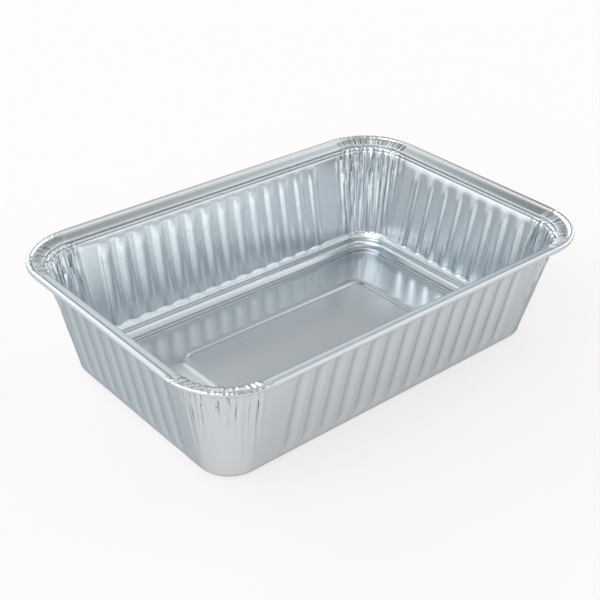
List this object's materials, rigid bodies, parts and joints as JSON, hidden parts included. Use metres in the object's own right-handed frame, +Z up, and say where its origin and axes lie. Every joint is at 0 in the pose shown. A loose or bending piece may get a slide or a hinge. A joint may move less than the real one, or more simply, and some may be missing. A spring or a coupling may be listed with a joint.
{
  "type": "foil tray",
  "caption": "Oblong pressed foil tray with fluted sloping walls, gathered corners, stepped rim, curled bead and a raised floor panel with a ridge round it.",
  "frame": {"origin": "centre of the flat resting ring under the tray, on the surface it stands on", "axes": "+Z up out of the open top, +X along the long side, +Y along the short side"},
  "size_m": [0.2398, 0.1634, 0.061],
  "materials": {
    "foil": "bright rolled foil, slightly satin"
  },
  "bodies": {
    "root": {"foil_tray": "foil"}
  },
  "joints": []
}
